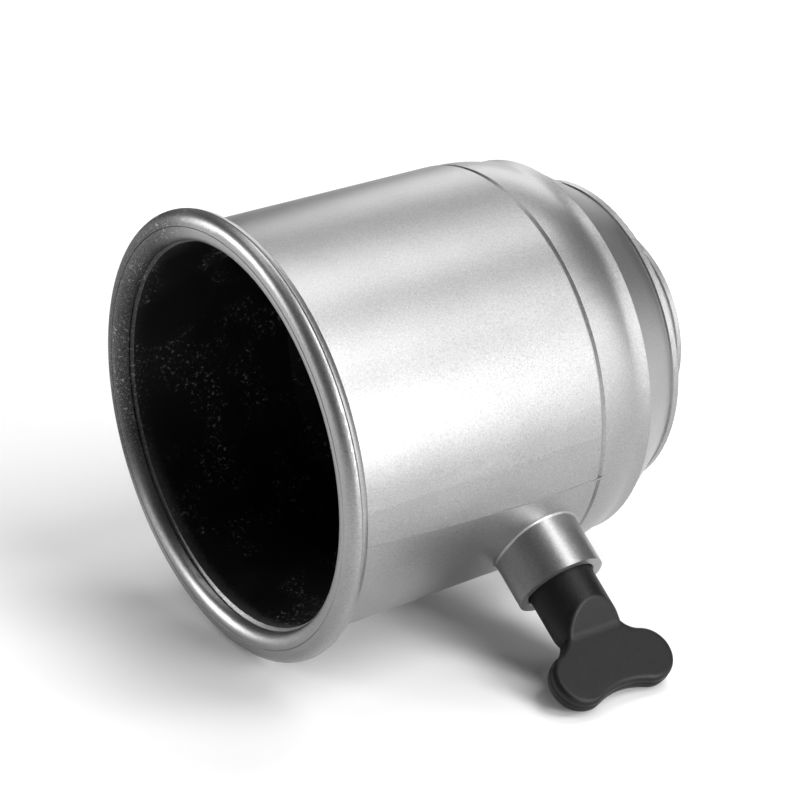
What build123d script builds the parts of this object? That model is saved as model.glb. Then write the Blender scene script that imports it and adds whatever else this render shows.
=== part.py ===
from build123d import *
import math
import os

# Tow ball cover: a moulded cup that slips over a 50 mm tow ball, clamped by a wing screw in its side.
# Millimetres. Origin: centre of the seated ball. -Y: out of the mouth. +Y: towards the crown.
# +Z: up, with the cover lying on its side on the lip.
#
# A station is a distance along the cover's axis from the mouth.
# A height is a distance along the screw's axis from the cover's axis.
# An angle round the cover is counted from straight down, towards +X.

# ---------------------------------------------------------------- driving dimensions
BALL_CENTRE_STATION = 56.4

# lip
LIP_RADIUS = 37.5
LIP_EDGE_ROUND = 1.85           # the outer edge is a full half round, so the lip is twice this deep
PARTING_HALF_WIDTH = 0.12       # thin parting line round the widest part
PARTING_DEPTH = 0.1
LIP_LAND_INNER_RADIUS = 34.54   # inner edge of the lip's flat front land
WITNESS_RADIUS = 34.98          # thin line that the mould leaves on the land
WITNESS_HALF_WIDTH = 0.1
WITNESS_DEPTH = 0.12

# body
BODY_RADIUS_AT_LIP = 34.34
BODY_RADIUS_AT_GROOVE = 33.9
GROOVE_STATION = 50.9
GROOVE_HALF_WIDTH = 0.5
GROOVE_DEPTH = 0.42

# crown: radius, first station and last station of each land, from the shoulder to the cap
CROWN_LANDS = [
    (32.45, 60.3, 61.85),
    (26.76, 71.05, 72.28),
    (17.3, 79.65, 80.55),
]
SHOULDER_RADIUS = 33.75
SHOULDER_CONVEX_SHARE = 0.79    # how much of the S-shaped shoulder is its convex arc
LAND_TAPER = 0.03
LAND_EDGE_ROUND = 0.25
STEP_UNDERCUT = 0.25
CROWN_TOP = 84.6

# inside
MOUTH_ROUND_END_RADIUS = 32.3   # the mouth's rounded edge ends in a crease
MOUTH_ROUND_END = 1.75
CREASE_RADIUS = 32.55
CREASE_STATION = 2.15
BORE_RADIUS = 32.0
BORE_START = 2.6
BORE_END = 33.0
CLAMP_BORE_RADIUS = 31.2        # the wall is thicker round the clamp screw
CLAMP_BORE_START = 36.0
CROWN_CAVITY_STATION = 50.2     # centre of the ball-shaped inside of the crown

# mould flash along one side
FLASH_ANGLE = 76.6
FLASH_COURSE = [                # stations, and how far to the side of that angle the ridge runs there
    (3.7, 1.8),
    (38.0, -0.7),
    (55.0, -0.3),
]
FLASH_WIDTH = 0.24
FLASH_HEIGHT = 0.1
FLASH_END_DROP = 0.45           # it runs out below the shoulder's surface

# clamp screw's place, and the boss that holds it
SCREW_STATION = 42.18
SCREW_ANGLE = 55.0
WING_TILT = -1.5                # of the wing's width from the cover's axis
BOSS_RADIUS = 7.58
BOSS_END = 42.25
BOSS_ROOT_FILLET = 0.45
BOSS_MOUTH_CHAMFER = 0.25
STEM_BORE_RADIUS = 5.85
STEM_BORE_FLOOR = 35.3

# threaded insert
INSERT_FLANGE_RADIUS = 5.5
INSERT_FLANGE_FACE = 31.2
INSERT_FLANGE_THICKNESS = 0.75
INSERT_RADIUS = 4.6
INSERT_TOP = 35.2
INSERT_GROOVES = 24
INSERT_GROOVE_RADIUS = 0.22
SPOT_FACE_RADIUS = 5.7

# clamp stud, M6
STUD_RADIUS = 2.95
THREAD_CLEARANCE = 0.06
STUD_THREAD_START = 31.3
STUD_COLLAR_RADIUS = 3.7
STUD_COLLAR_START = 44.0
STUD_COLLAR_END = 49.0
STUD_COLLAR_SIDES = 6
STUD_NECK_RADIUS = 1.2
STUD_BALL_RADIUS = 1.8
STUD_BALL_HEIGHT = 29.2

# thrust pad
PAD_RADIUS = 4.5
PAD_FACE = 26.6
PAD_BACK = 30.6
PAD_SOCKET_CLEARANCE = 0.07
PAD_MOUTH_RADIUS = 1.45
PAD_EDGE_FILLET = 0.5

# wing knob
STEM_RADIUS = 5.65
STEM_START = 41.6
STEM_END = 54.0                 # buried in the wing
STEM_CHAMFER = 0.4
FACET_START = 47.9              # where the stem's two sloping facets begin
FACET_END = 52.1                # where they reach the wing's faces
FACET_CREASE_RADIUS = 2.2
FACET_EDGE_FILLET = 0.9
WING_ROOT = 47.0
WING_THICKNESS = 3.6
WING_EDGE_FILLET = 0.9
WING_PARTING_WIDTH = 0.16       # thin ridge round the middle of the wing's edge
WING_PARTING_HEIGHT = 0.06
LOBE_RADIUS = 4.8
LOBE_SPACING = 13.4
LOBE_HEIGHT = 58.5
NECK_HALF_WIDTH = 5.3
NECK_FILLET = 4.0
DIP_HEIGHT = 62.0               # bottom of the dip between the lobes

LIP_DEPTH = 2 * LIP_EDGE_ROUND
OVERCUT = 1.0                   # how far a cutting body runs past the face it opens
EDGE_TOLERANCE = 0.02


# ---------------------------------------------------------------- places and directions
def y_at(station):
    """Place on the Y axis of a station."""
    return station - BALL_CENTRE_STATION


def at(radius, station):
    """Point of the turned outline."""
    return (radius, y_at(station))


def body_radius(station):
    """Outside radius of the slightly tapered body."""
    taper = (BODY_RADIUS_AT_LIP - BODY_RADIUS_AT_GROOVE) / (GROOVE_STATION - LIP_DEPTH)
    return BODY_RADIUS_AT_LIP - taper * (station - LIP_DEPTH)


def radial_direction(angle):
    """Unit vector away from the cover's axis at an angle round the cover."""
    return Vector(math.sin(math.radians(angle)), 0, -math.cos(math.radians(angle)))


def screw_plane():
    """Plane whose Z is the screw's outward axis and whose X is the wing's width."""
    outward = radial_direction(SCREW_ANGLE)
    along = Vector(0, 1, 0)
    tilt = math.radians(WING_TILT)
    width = along * math.cos(tilt) + outward.cross(along) * math.sin(tilt)
    return Plane(origin=(0, y_at(SCREW_STATION), 0), x_dir=width, z_dir=outward)


SCREW = screw_plane()


def upright_cylinder(radius, bottom, top):
    """Cylinder on the Z axis between two heights."""
    align = (Align.CENTER, Align.CENTER, Align.MIN)
    return Pos(0, 0, bottom) * Cylinder(radius, top - bottom, align=align)


def on_screw(radius, bottom, top):
    """Cylinder on the screw's axis between two heights."""
    return SCREW * upright_cylinder(radius, bottom, top)


def circles_on_screw(body, radius, lowest, highest):
    """Closed edges that run round the screw's axis at one radius, between two heights."""
    found = []
    for edge in body.edges().filter_by(GeomType.LINE, reverse=True):
        places = [SCREW.to_local_coords(edge @ share) for share in (0.1, 0.35, 0.6, 0.85)]
        on_radius = all(abs(math.hypot(p.X, p.Y) - radius) < EDGE_TOLERANCE for p in places)
        if on_radius and all(lowest < p.Z < highest for p in places):
            found.append(edge)
    return found


# ---------------------------------------------------------------- shell
def lip_outline():
    """The lip's front land, its half-round edge with the parting line, and its back face."""
    round_radius = LIP_RADIUS - LIP_EDGE_ROUND
    front = at(round_radius, 0)
    back = at(round_radius, LIP_DEPTH)
    notch_radius = round_radius + math.sqrt(LIP_EDGE_ROUND**2 - PARTING_HALF_WIDTH**2)
    notch_front = at(notch_radius, LIP_EDGE_ROUND - PARTING_HALF_WIDTH)
    notch_bottom = at(LIP_RADIUS - PARTING_DEPTH, LIP_EDGE_ROUND)
    notch_back = at(notch_radius, LIP_EDGE_ROUND + PARTING_HALF_WIDTH)
    land = Polyline(
        at(LIP_LAND_INNER_RADIUS, 0),
        at(WITNESS_RADIUS - WITNESS_HALF_WIDTH, 0),
        at(WITNESS_RADIUS, WITNESS_DEPTH),
        at(WITNESS_RADIUS + WITNESS_HALF_WIDTH, 0),
        front,
    )
    return [
        land,
        TangentArc(front, notch_front, tangent=(1, 0)),
        Line(notch_front, notch_bottom),
        Line(notch_bottom, notch_back),
        TangentArc(back, notch_back, tangent=(1, 0)),
        Line(back, at(BODY_RADIUS_AT_LIP, LIP_DEPTH)),
    ]


def body_outline():
    """Tapered body up to the groove, and the groove's two flanks."""
    front_station = GROOVE_STATION - GROOVE_HALF_WIDTH
    front = at(body_radius(front_station), front_station)
    bottom = at(BODY_RADIUS_AT_GROOVE - GROOVE_DEPTH, GROOVE_STATION)
    back = at(SHOULDER_RADIUS, GROOVE_STATION + GROOVE_HALF_WIDTH)
    return [
        Line(at(BODY_RADIUS_AT_LIP, LIP_DEPTH), front),
        Line(front, bottom),
        Line(bottom, back),
    ]


def shoulder_outline():
    """S-shaped shoulder: a long convex arc, then a short concave one onto the first land."""
    radius, start, _ = CROWN_LANDS[0]
    begin = Vector(*at(SHOULDER_RADIUS, GROOVE_STATION + GROOVE_HALF_WIDTH))
    end = Vector(*at(radius, start))
    middle = begin + (end - begin) * SHOULDER_CONVEX_SHARE
    return [
        TangentArc(begin, middle, tangent=(0, 1)),
        TangentArc(end, middle, tangent=(0, -1)),
    ]


def step_outline(land, next_land):
    """One ring of the crown: a short land, a rounded edge, and a cone down to the next land."""
    radius, start, end = land
    next_radius, next_start, _ = next_land
    edge = at(radius - LAND_TAPER, end - LAND_EDGE_ROUND)
    below = at(radius - LAND_TAPER - LAND_EDGE_ROUND, end)
    foot = at(next_radius - STEP_UNDERCUT, next_start - STEP_UNDERCUT)
    return [
        Line(at(radius, start), edge),
        TangentArc(edge, below, tangent=(0, 1)),
        Line(below, foot),
        Line(foot, at(next_radius, next_start)),
    ]


def cap_outline():
    """Last land and the shallow dome that closes the crown."""
    radius, start, end = CROWN_LANDS[-1]
    edge = at(radius - LAND_TAPER, end)
    return [
        Line(at(radius, start), edge),
        TangentArc(at(0, CROWN_TOP), edge, tangent=(1, 0)),
    ]


def inside_outline():
    """Cavity from the crown down to the bore, the crease and the mouth's rounded edge."""
    top = at(0, CROWN_CAVITY_STATION + CLAMP_BORE_RADIUS)
    side = at(CLAMP_BORE_RADIUS, CROWN_CAVITY_STATION)
    mouth_end = at(MOUTH_ROUND_END_RADIUS, MOUTH_ROUND_END)
    wall = Polyline(
        side,
        at(CLAMP_BORE_RADIUS, CLAMP_BORE_START),
        at(BORE_RADIUS, BORE_END),
        at(BORE_RADIUS, BORE_START),
        at(CREASE_RADIUS, CREASE_STATION),
        mouth_end,
    )
    return [
        Line(at(0, CROWN_TOP), top),
        TangentArc(side, top, tangent=(0, 1)),
        wall,
        TangentArc(at(LIP_LAND_INNER_RADIUS, 0), mouth_end, tangent=(-1, 0)),
    ]


def make_cup():
    """The turned cup, without its boss."""
    edges = lip_outline() + body_outline() + shoulder_outline()
    for land, next_land in zip(CROWN_LANDS, CROWN_LANDS[1:]):
        edges += step_outline(land, next_land)
    edges += cap_outline() + inside_outline()
    return revolve(make_face(Curve() + edges), Axis.Y)


def flash_ridge():
    """Thin ridge left where the mould's halves meet, from the lip to just past the groove."""
    start = FLASH_COURSE[0][0]
    end = FLASH_COURSE[-1][0]
    inner = body_radius(end) - OVERCUT
    skin = Polyline(
        at(inner, start),
        at(body_radius(start) + FLASH_HEIGHT, start),
        at(BODY_RADIUS_AT_GROOVE + FLASH_HEIGHT, GROOVE_STATION),
        at(SHOULDER_RADIUS - FLASH_END_DROP, end),
        at(inner, end),
        close=True,
    )
    far_side = [(station, aside + FLASH_WIDTH / 2) for station, aside in FLASH_COURSE]
    near_side = [(station, aside - FLASH_WIDTH / 2) for station, aside in FLASH_COURSE]
    strip = Polyline(*far_side, *reversed(near_side), close=True)
    plane = Plane(origin=(0, y_at(0), 0), x_dir=(0, 1, 0), z_dir=radial_direction(FLASH_ANGLE))
    return extrude(plane * make_face(strip), LIP_RADIUS) & revolve(make_face(skin), Axis.Y)


def make_shell():
    """One moulding: cup, boss for the screw, stem bore, and the seat of the threaded insert."""
    spot_face = INSERT_FLANGE_FACE + INSERT_FLANGE_THICKNESS
    shell = make_cup() + on_screw(BOSS_RADIUS, CLAMP_BORE_RADIUS + OVERCUT, BOSS_END)
    root = circles_on_screw(shell, BOSS_RADIUS, 0, BOSS_END - OVERCUT)
    shell = fillet(root, BOSS_ROOT_FILLET)
    shell -= on_screw(STEM_BORE_RADIUS, STEM_BORE_FLOOR, BOSS_END + OVERCUT)
    shell -= on_screw(INSERT_RADIUS, 0, STEM_BORE_FLOOR + OVERCUT)
    shell -= on_screw(SPOT_FACE_RADIUS, 0, spot_face)
    mouth = circles_on_screw(shell, STEM_BORE_RADIUS, BOSS_END - OVERCUT, BOSS_END + OVERCUT)
    shell = chamfer(mouth, BOSS_MOUTH_CHAMFER)
    return shell + flash_ridge()


# ---------------------------------------------------------------- clamp screw
def make_insert():
    """Flanged brass insert, pressed in from inside the bore, with a grooved outside."""
    flange_top = INSERT_FLANGE_FACE + INSERT_FLANGE_THICKNESS
    insert = on_screw(INSERT_FLANGE_RADIUS, INSERT_FLANGE_FACE, flange_top)
    insert += on_screw(INSERT_RADIUS, flange_top, INSERT_TOP)
    insert -= on_screw(STUD_RADIUS + THREAD_CLEARANCE, INSERT_FLANGE_FACE, INSERT_TOP)
    groove = upright_cylinder(INSERT_GROOVE_RADIUS, flange_top, INSERT_TOP + OVERCUT)
    for place in PolarLocations(INSERT_RADIUS, INSERT_GROOVES):
        insert -= SCREW * place * groove
    return insert


def make_stud():
    """M6 stud with a six-sided collar held in the knob and a ball end held in the pad."""
    outline = RegularPolygon(STUD_COLLAR_RADIUS, STUD_COLLAR_SIDES)
    collar = extrude(outline, STUD_COLLAR_END - STUD_COLLAR_START)
    stud = on_screw(STUD_RADIUS, STUD_THREAD_START, STUD_COLLAR_START)
    stud += SCREW * Pos(0, 0, STUD_COLLAR_START) * collar
    stud += on_screw(STUD_NECK_RADIUS, STUD_BALL_HEIGHT, STUD_THREAD_START)
    stud += SCREW * Pos(0, 0, STUD_BALL_HEIGHT) * Sphere(STUD_BALL_RADIUS)
    return stud


def make_pad():
    """Round pad that snaps over the stud's ball end and doesn't turn on the tow ball."""
    pad = on_screw(PAD_RADIUS, PAD_FACE, PAD_BACK)
    pad = fillet(pad.edges().filter_by(GeomType.CIRCLE), PAD_EDGE_FILLET)
    pad -= SCREW * Pos(0, 0, STUD_BALL_HEIGHT) * Sphere(STUD_BALL_RADIUS + PAD_SOCKET_CLEARANCE)
    pad -= on_screw(PAD_MOUTH_RADIUS, STUD_BALL_HEIGHT, PAD_BACK + OVERCUT)
    return pad


def wing_outline():
    """Face of the two-lobed wing: neck, lobe and half the dip, mirrored to the other side."""
    lobe = Vector(LOBE_SPACING / 2, LOBE_HEIGHT)

    # the neck's fillet touches the straight side of the neck and the lobe
    neck_centre_x = NECK_HALF_WIDTH + NECK_FILLET
    neck_drop = math.sqrt((NECK_FILLET + LOBE_RADIUS) ** 2 - (neck_centre_x - lobe.X) ** 2)
    neck_centre = Vector(neck_centre_x, LOBE_HEIGHT - neck_drop)
    neck_end = lobe + (neck_centre - lobe).normalized() * LOBE_RADIUS

    # the dip's arc touches both lobes from outside
    rise = DIP_HEIGHT - LOBE_HEIGHT
    dip_radius = (lobe.X**2 + rise**2 - LOBE_RADIUS**2) / (2 * (LOBE_RADIUS - rise))
    dip_centre = Vector(0, DIP_HEIGHT + dip_radius)
    dip_end = lobe + (dip_centre - lobe).normalized() * LOBE_RADIUS

    side = Polyline((0, WING_ROOT), (NECK_HALF_WIDTH, WING_ROOT), (NECK_HALF_WIDTH, neck_centre.Y))
    neck = TangentArc((NECK_HALF_WIDTH, neck_centre.Y), neck_end, tangent=(0, 1))
    lobe_arc = TangentArc(neck_end, dip_end, tangent=neck % 1)
    dip = TangentArc((0, DIP_HEIGHT), dip_end, tangent=(1, 0))
    half = Curve() + [side, neck, lobe_arc, dip]
    return make_face(half + mirror(half, Plane.YZ))


def facet_cutter():
    """Takes one sloping facet off the stem, and rounds the crease where it meets the wing's face."""
    face = WING_THICKNESS / 2
    far = STEM_RADIUS + OVERCUT
    top = STEM_END + OVERCUT
    corner = Vector(face, FACET_END)
    uphill = (Vector(STEM_RADIUS, FACET_START) - corner).normalized()
    tilt = math.atan2(uphill.X, -uphill.Y)
    bend = FACET_CREASE_RADIUS * math.tan(tilt / 2)
    slope_start = corner + uphill * (far - face) / uphill.X
    slope_end = corner + uphill * bend
    face_start = corner + Vector(0, bend)
    outline = Curve() + [
        Line(slope_start, slope_end),
        TangentArc(face_start, slope_end, tangent=(0, -1)),
        Polyline(face_start, (face, top), (far, top), slope_start),
    ]
    return extrude(Plane.YZ * make_face(outline), far, both=True)


def make_wing():
    """Flat wing with rounded edges and a thin parting ridge round its middle."""
    outline = wing_outline()
    wing = extrude(Plane.XZ * outline, WING_THICKNESS / 2, both=True)
    wing = fillet(wing.faces().filter_by(Axis.Y).edges(), WING_EDGE_FILLET)
    ridge = offset(outline, WING_PARTING_HEIGHT)
    return wing + extrude(Plane.XZ * ridge, WING_PARTING_WIDTH / 2, both=True)


def make_knob():
    """Round stem with two sloping facets that run out onto the flat, two-lobed wing."""
    stem = upright_cylinder(STEM_RADIUS, STEM_START, STEM_END)
    stem = chamfer(stem.edges().sort_by(Axis.Z)[0], STEM_CHAMFER)
    cutter = facet_cutter()
    stem -= cutter
    stem -= mirror(cutter, Plane.XZ)
    stem = fillet(stem.edges().filter_by(GeomType.ELLIPSE), FACET_EDGE_FILLET)
    return SCREW * (make_wing() + stem)


# ---------------------------------------------------------------- write every piece
def main():
    stud = make_stud()
    pieces = {
        "shell": make_shell(),
        "threaded_insert": make_insert(),
        "clamp_stud": stud,
        "thrust_pad": make_pad(),
        "wing_knob": make_knob() - stud,
    }
    os.makedirs("parts", exist_ok=True)
    for name, piece in pieces.items():
        export_step(piece, f"parts/{name}.step")


main()
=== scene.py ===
import math

import bpy
from mathutils import Matrix, Vector


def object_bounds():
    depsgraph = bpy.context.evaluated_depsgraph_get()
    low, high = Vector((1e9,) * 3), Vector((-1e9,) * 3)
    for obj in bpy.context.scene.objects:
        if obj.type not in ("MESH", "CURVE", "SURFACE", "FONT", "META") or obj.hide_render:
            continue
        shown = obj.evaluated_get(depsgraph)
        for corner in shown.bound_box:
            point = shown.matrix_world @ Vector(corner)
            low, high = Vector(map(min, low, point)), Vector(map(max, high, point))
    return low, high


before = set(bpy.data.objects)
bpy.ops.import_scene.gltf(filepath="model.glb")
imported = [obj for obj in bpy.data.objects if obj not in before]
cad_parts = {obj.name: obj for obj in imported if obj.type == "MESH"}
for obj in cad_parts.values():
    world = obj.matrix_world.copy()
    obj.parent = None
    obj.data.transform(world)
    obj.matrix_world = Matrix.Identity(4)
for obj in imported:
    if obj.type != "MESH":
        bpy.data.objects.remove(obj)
cad_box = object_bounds()

MM = 0.001

# ---------------------------------------------------------------- places, in the row frame
MOUTH_Y = -56.4 * MM                # front of the lip
CROWN_CENTRE_Y = -6.2 * MM          # centre of the ball-shaped inside of the crown
SKIN_RADIUS = 32.7 * MM             # inside this distance from the bore's centre line, the wall is bare
OVERSPRAY_START = 1.0 * MM          # from the mouth, where the paint begins to thin out
OVERSPRAY_END = 5.2 * MM
OVERSPRAY_RAGGEDNESS = 2.2 * MM
THIN_PAINT_AND_SHADE_DIRECTION = Vector((-0.95, 0.0, 0.3))    # the side where the lip is darkened: partly thinner paint, partly painted shade for the darker surroundings that side reflects
THIN_PAINT_AND_SHADE_START = 14 * MM          # along that direction
THIN_PAINT_AND_SHADE_FULL = 27 * MM
THIN_PAINT_AND_SHADE_FRONT = 1.5 * MM         # from the mouth, where the thin paint and painted shade begin to end
THIN_PAINT_AND_SHADE_BACK = 1.9 * MM
SCREW_Y = -14.22 * MM
SCREW_ANGLE = math.radians(55.0)    # from straight down, towards +X
OUTWARD = Vector((math.sin(SCREW_ANGLE), 0.0, -math.cos(SCREW_ANGLE)))
STEM_BORE_RADIUS = 5.95 * MM
BOSS_END = 42.25 * MM
STEM_PAINT_START = 0.3 * MM         # below the boss's end, where the paint in the stem bore thins out
STEM_PAINT_END = 1.6 * MM

# ---------------------------------------------------------------- camera
CAMERA_PLACE = Vector((0.368558, -0.276218, 0.213699))
CAMERA_TARGET = Vector((-0.00741, -0.01661, -0.00690))
CAMERA_ROLL = math.radians(-0.35)
CAMERA_LENS = 135.0
CAMERA_SENSOR = 36.0
CAMERA_CLIP_START = 0.01

# ---------------------------------------------------------------- studio
FLOOR_HALF_SIZE = 3.0
WORLD_LEVEL = 0.01
SOFTBOX_DISTANCE = 1.1
SOFTBOXES = (
    # name, azimuth and elevation in degrees, width and height in metres, power in watts
    ("key", 102, 15, 0.38, 0.64, 15.5),
    ("high_right", 120, 55, 0.34, 0.64, 6.9),
    ("far_right", 140, 15, 0.32, 0.64, 2.8),
    ("top", 210, 65, 0.8, 0.32, 5.1),
    ("far_left", 225, 20, 0.6, 0.5, 2.9),
    ("left", 320, 12, 0.4, 0.4, 7.0),
    ("fill", 300, 65, 0.7, 0.32, 1.8),
)


# ---------------------------------------------------------------- building materials from nodes
class Shader:
    """One material and the few kinds of node that its look is made of."""

    def __init__(self, name):
        self.material = bpy.data.materials.new(name)
        self.material.use_nodes = True
        self.tree = self.material.node_tree
        self.tree.nodes.clear()
        self.surface = self.tree.nodes.new("ShaderNodeBsdfPrincipled")
        output = self.tree.nodes.new("ShaderNodeOutputMaterial")
        self.tree.links.new(self.surface.outputs["BSDF"], output.inputs["Surface"])
        self.place = self.tree.nodes.new("ShaderNodeTexCoord").outputs["Object"]

    def feed(self, socket, value):
        """Sets a socket to a number or colour, or links it to another node's output."""
        if isinstance(value, bpy.types.NodeSocket):
            self.tree.links.new(value, socket)
        else:
            socket.default_value = value

    def set(self, name, value):
        self.feed(self.surface.inputs[name], value)

    def math(self, operation, *values):
        node = self.tree.nodes.new("ShaderNodeMath")
        node.operation = operation
        for socket, value in zip(node.inputs, values):
            self.feed(socket, value)
        return node.outputs[0]

    def vector(self, operation, first, second=None, output="Vector"):
        node = self.tree.nodes.new("ShaderNodeVectorMath")
        node.operation = operation
        self.feed(node.inputs[0], first)
        if second is not None:
            self.feed(node.inputs[1], tuple(second))
        return node.outputs[output]

    def axes(self, vector):
        node = self.tree.nodes.new("ShaderNodeSeparateXYZ")
        self.feed(node.inputs[0], vector)
        return node.outputs

    def noise(self, size, detail=2.0, roughness=0.5, seed=0.0):
        """Noise from 0 to 1 whose features are about size metres across."""
        node = self.tree.nodes.new("ShaderNodeTexNoise")
        node.noise_dimensions = "4D"
        self.feed(node.inputs["Vector"], self.place)
        node.inputs["W"].default_value = seed
        node.inputs["Scale"].default_value = 1.0 / size
        node.inputs["Detail"].default_value = detail
        node.inputs["Roughness"].default_value = roughness
        return node.outputs["Fac"]

    def span(self, value, start, end, low=0.0, high=1.0, smooth=True):
        """Goes from low to high as value goes from start to end, and stays there beyond them."""
        node = self.tree.nodes.new("ShaderNodeMapRange")
        node.interpolation_type = "SMOOTHSTEP" if smooth else "LINEAR"
        for name, number in (("Value", value), ("From Min", start), ("From Max", end),
                             ("To Min", low), ("To Max", high)):
            self.feed(node.inputs[name], number)
        return node.outputs["Result"]

    def mix(self, share, first, second):
        """Colour between first and second."""
        node = self.tree.nodes.new("ShaderNodeMix")
        node.data_type = "RGBA"
        self.feed(node.inputs["Factor"], share)
        self.feed(node.inputs["A"], first)
        self.feed(node.inputs["B"], second)
        return node.outputs["Result"]

    def blend(self, share, first, second):
        """Number between first and second."""
        node = self.tree.nodes.new("ShaderNodeMix")
        self.feed(node.inputs["Factor"], share)
        self.feed(node.inputs["A"], first)
        self.feed(node.inputs["B"], second)
        return node.outputs["Result"]

    def without(self, share, taken):
        """The share that is left where another share from 0 to 1 is taken out of it."""
        return self.math("MULTIPLY", share, self.math("SUBTRACT", 1.0, taken))

    def bump(self, height, depth, under=None):
        """Surface normal from a height between 0 and 1 that is depth metres deep."""
        node = self.tree.nodes.new("ShaderNodeBump")
        node.inputs["Strength"].default_value = 1.0
        node.inputs["Distance"].default_value = depth
        self.feed(node.inputs["Height"], height)
        if under is not None:
            self.feed(node.inputs["Normal"], under)
        return node.outputs["Normal"]


def grey(level):
    return (level, level, level, 1.0)


def assign(material, *nodes):
    for name in nodes:
        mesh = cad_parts[name].data
        mesh.materials.clear()
        mesh.materials.append(material)


# ---------------------------------------------------------------- shell: silver paint on black plastic
def outside_share(shader):
    """1 on the wall's outside and the lip, 0 in the bore and on the inside of the crown."""
    x, y, z = shader.axes(shader.place)
    beyond = shader.math("MAXIMUM", shader.math("SUBTRACT", y, CROWN_CENTRE_Y), 0.0)
    squares = [shader.math("MULTIPLY", part, part) for part in (x, z, beyond)]
    across = shader.math("ADD", squares[0], squares[1])
    depth = shader.math("SQRT", shader.math("ADD", across, squares[2]))
    return shader.math("GREATER_THAN", depth, SKIN_RADIUS)


def overspray_share(shader, station):
    """Paint that thins out with a ragged edge inside the mouth."""
    speckle = shader.noise(0.35 * MM, detail=3.0, seed=4.0)
    shift = shader.math("MULTIPLY", shader.math("SUBTRACT", speckle, 0.5), OVERSPRAY_RAGGEDNESS)
    return shader.span(shader.math("ADD", station, shift), OVERSPRAY_END, OVERSPRAY_START)


def thin_paint_and_shade_share(shader, station, outside):
    """Black plastic that shows as a fine grain on the -X side of the lip's front: partly thinner paint
    there, partly painted shade for the darker surroundings that side reflects.
    """
    inside = shader.math("SUBTRACT", 1.0, outside)
    front = shader.math("MAXIMUM", inside, shader.span(station, THIN_PAINT_AND_SHADE_BACK, THIN_PAINT_AND_SHADE_FRONT))
    sideways = shader.vector("DOT_PRODUCT", shader.place, THIN_PAINT_AND_SHADE_DIRECTION, output="Value")
    far_side = shader.span(sideways, THIN_PAINT_AND_SHADE_START, THIN_PAINT_AND_SHADE_FULL)
    grain = shader.noise(0.22 * MM, detail=3.0, roughness=0.8, seed=13.0)
    return shader.math("MULTIPLY", shader.math("MULTIPLY", front, far_side), shader.span(grain, 0.24, 0.52))


def stem_bore_share(shader):
    """1 in the bare stem bore, round the screw's axis and a little below the boss's end."""
    from_screw = shader.vector("SUBTRACT", shader.place, (0.0, SCREW_Y, 0.0))
    across = shader.vector("CROSS_PRODUCT", from_screw, OUTWARD)
    off_axis = shader.vector("LENGTH", across, output="Value")
    height = shader.vector("DOT_PRODUCT", from_screw, OUTWARD, output="Value")
    in_bore = shader.math("LESS_THAN", off_axis, STEM_BORE_RADIUS)
    deep = shader.span(height, BOSS_END - STEM_PAINT_START, BOSS_END - STEM_PAINT_END)
    above = shader.math("GREATER_THAN", height, 0.0)
    return shader.math("MULTIPLY", shader.math("MULTIPLY", in_bore, deep), above)


def painted_share(shader):
    """1 where the shell is painted, 0 where the black plastic is bare, speckled in between."""
    y = shader.axes(shader.place)[1]
    station = shader.math("SUBTRACT", y, MOUTH_Y)
    outside = outside_share(shader)
    share = shader.math("MAXIMUM", outside, overspray_share(shader, station))
    # takes paint away on the lip's -X side: thin paint, and also painted shade
    share = shader.without(share, thin_paint_and_shade_share(shader, station, outside))
    return shader.without(share, stem_bore_share(shader))


def bare_colour(shader):
    """Black plastic with patches of light dust."""
    patches = shader.span(shader.noise(7.0 * MM, detail=2.0, seed=15.0), 0.45, 0.65)
    specks = shader.span(shader.noise(0.55 * MM, detail=3.0, roughness=0.7, seed=7.0), 0.56, 0.66)
    return shader.mix(shader.math("MULTIPLY", patches, specks), grey(0.004), grey(0.3))


def paint_colour(shader, flake, cloud):
    tone = shader.span(flake, 0.3, 0.7, 0.22, 0.34, smooth=False)
    tone = shader.math("MULTIPLY", tone, shader.span(cloud, 0.3, 0.7, 0.97, 1.03))
    colour = shader.tree.nodes.new("ShaderNodeCombineColor")
    for socket in colour.inputs:
        shader.feed(socket, tone)
    return colour.outputs[0]


def silver_paint():
    shader = Shader("silver_paint")
    painted = painted_share(shader)
    flake = shader.noise(0.3 * MM, detail=3.0, roughness=0.7)
    cloud = shader.noise(9.0 * MM, detail=3.0, seed=2.0)
    shader.set("Base Color", shader.mix(painted, bare_colour(shader), paint_colour(shader, flake, cloud)))
    shader.set("Metallic", shader.math("MULTIPLY", painted, 0.92))
    paint_roughness = shader.span(flake, 0.25, 0.75, 0.33, 0.43)
    bare_roughness = shader.span(cloud, 0.3, 0.7, 0.42, 0.55)
    shader.set("Roughness", shader.blend(painted, bare_roughness, paint_roughness))
    orange_peel = shader.noise(1.3 * MM, detail=2.0, seed=12.0)
    shader.set("Normal", shader.bump(flake, 0.011 * MM, shader.bump(orange_peel, 0.008 * MM)))
    return shader.material


# ---------------------------------------------------------------- knob, stud, insert and pad
def black_plastic():
    shader = Shader("black_plastic")
    grain = shader.noise(0.24 * MM, detail=3.0, roughness=0.7, seed=3.0)
    cloud = shader.noise(4.0 * MM, detail=2.0, seed=5.0)
    shader.set("Base Color", shader.mix(shader.span(grain, 0.3, 0.7), grey(0.0015), grey(0.008)))
    shader.set("Specular IOR Level", 0.22)
    shader.set("Roughness", shader.span(cloud, 0.3, 0.7, 0.42, 0.52))
    shader.set("Normal", shader.bump(grain, 0.05 * MM))
    return shader.material


def zinc_steel():
    shader = Shader("zinc_steel")
    grain = shader.noise(0.4 * MM, detail=3.0, seed=6.0)
    shader.set("Base Color", shader.mix(grain, grey(0.5), grey(0.66)))
    shader.set("Metallic", 1.0)
    shader.set("Roughness", shader.span(grain, 0.3, 0.7, 0.24, 0.36))
    shader.set("Normal", shader.bump(grain, 0.004 * MM))
    return shader.material


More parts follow.
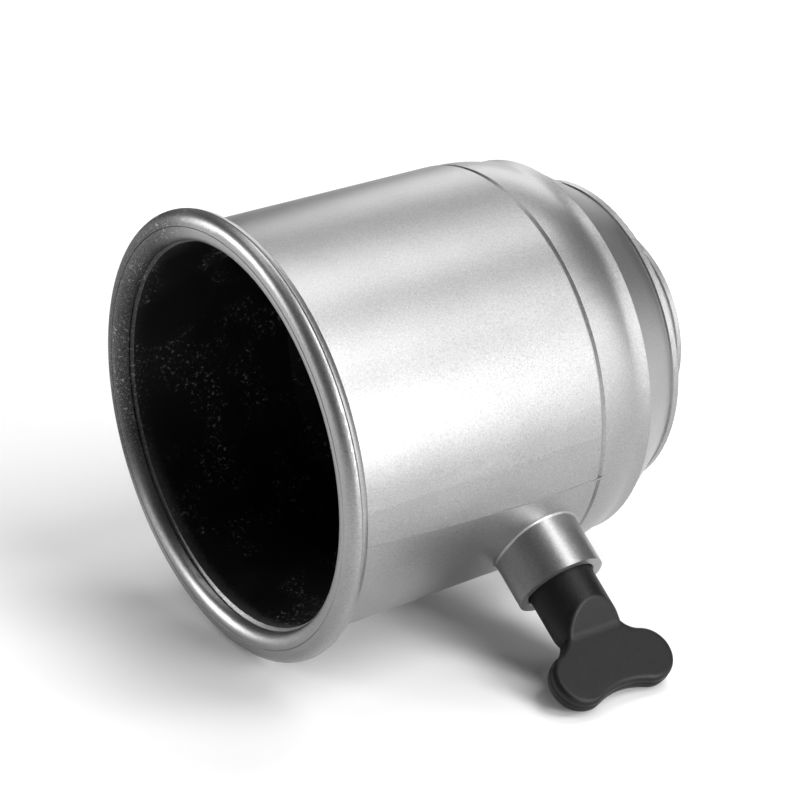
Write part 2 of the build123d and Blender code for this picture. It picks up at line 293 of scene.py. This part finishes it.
def brass():
    shader = Shader("brass")
    grain = shader.noise(0.5 * MM, detail=3.0, seed=8.0)
    shader.set("Base Color", shader.mix(grain, (0.55, 0.38, 0.13, 1.0), (0.74, 0.55, 0.24, 1.0)))
    shader.set("Metallic", 1.0)
    shader.set("Roughness", shader.span(grain, 0.3, 0.7, 0.26, 0.4))
    shader.set("Normal", shader.bump(grain, 0.004 * MM))
    return shader.material


def nylon():
    shader = Shader("nylon")
    grain = shader.noise(0.3 * MM, detail=3.0, seed=9.0)
    shader.set("Base Color", shader.mix(grain, (0.66, 0.64, 0.57, 1.0), (0.76, 0.74, 0.68, 1.0)))
    shader.set("Roughness", shader.span(grain, 0.3, 0.7, 0.4, 0.5))
    shader.set("Subsurface Weight", 0.2)
    shader.set("Subsurface Radius", (0.9 * MM, 0.8 * MM, 0.6 * MM))
    shader.set("Normal", shader.bump(grain, 0.01 * MM))
    return shader.material


# ---------------------------------------------------------------- floor, lights and camera
def pale_floor():
    shader = Shader("pale_floor")
    mottle = shader.noise(60 * MM, detail=4.0, seed=11.0)
    shader.set("Base Color", shader.mix(mottle, grey(0.86), grey(0.89)))
    shader.set("Roughness", 0.7)
    return shader.material


def make_floor():
    half = FLOOR_HALF_SIZE
    corners = [(-half, -half, 0), (half, -half, 0), (half, half, 0), (-half, half, 0)]
    mesh = bpy.data.meshes.new("floor")
    mesh.from_pydata(corners, [], [(0, 1, 2, 3)])
    mesh.materials.append(pale_floor())
    floor = bpy.data.objects.new("floor", mesh)
    floor.location.z = cad_box[0].z
    bpy.context.scene.collection.objects.link(floor)


def make_softbox(name, azimuth, elevation, width, height, power):
    """Rectangular soft light that faces the object. Azimuth is from -Y towards +X."""
    light = bpy.data.lights.new(name, "AREA")
    light.shape = "RECTANGLE"
    light.size = width
    light.size_y = height
    light.energy = power
    lamp = bpy.data.objects.new(name, light)
    turn = math.radians(azimuth)
    tilt = math.radians(elevation)
    direction = Vector((math.sin(turn) * math.cos(tilt), -math.cos(turn) * math.cos(tilt), math.sin(tilt)))
    lamp.location = direction * SOFTBOX_DISTANCE
    lamp.rotation_euler = direction.to_track_quat("Z", "Y").to_euler()
    bpy.context.scene.collection.objects.link(lamp)


def make_world(level):
    world = bpy.data.worlds.new("studio")
    bpy.context.scene.world = world
    world.use_nodes = True
    backdrop = world.node_tree.nodes["Background"]
    backdrop.inputs["Color"].default_value = grey(1.0)
    backdrop.inputs["Strength"].default_value = level


def make_camera():
    data = bpy.data.cameras.new("camera")
    data.lens = CAMERA_LENS
    data.sensor_width = CAMERA_SENSOR
    data.clip_start = CAMERA_CLIP_START
    camera = bpy.data.objects.new("camera", data)
    aim = (CAMERA_TARGET - CAMERA_PLACE).to_track_quat("-Z", "Y").to_matrix().to_4x4()
    camera.matrix_world = Matrix.Translation(CAMERA_PLACE) @ aim @ Matrix.Rotation(CAMERA_ROLL, 4, "Z")
    bpy.context.scene.collection.objects.link(camera)
    bpy.context.scene.camera = camera


assign(silver_paint(), "shell")
assign(black_plastic(), "wing_knob")
assign(zinc_steel(), "clamp_stud")
assign(brass(), "threaded_insert")
assign(nylon(), "thrust_pad")

make_floor()
for softbox in SOFTBOXES:
    make_softbox(*softbox)
make_world(WORLD_LEVEL)
make_camera()
bpy.context.scene.view_settings.view_transform = "Standard"
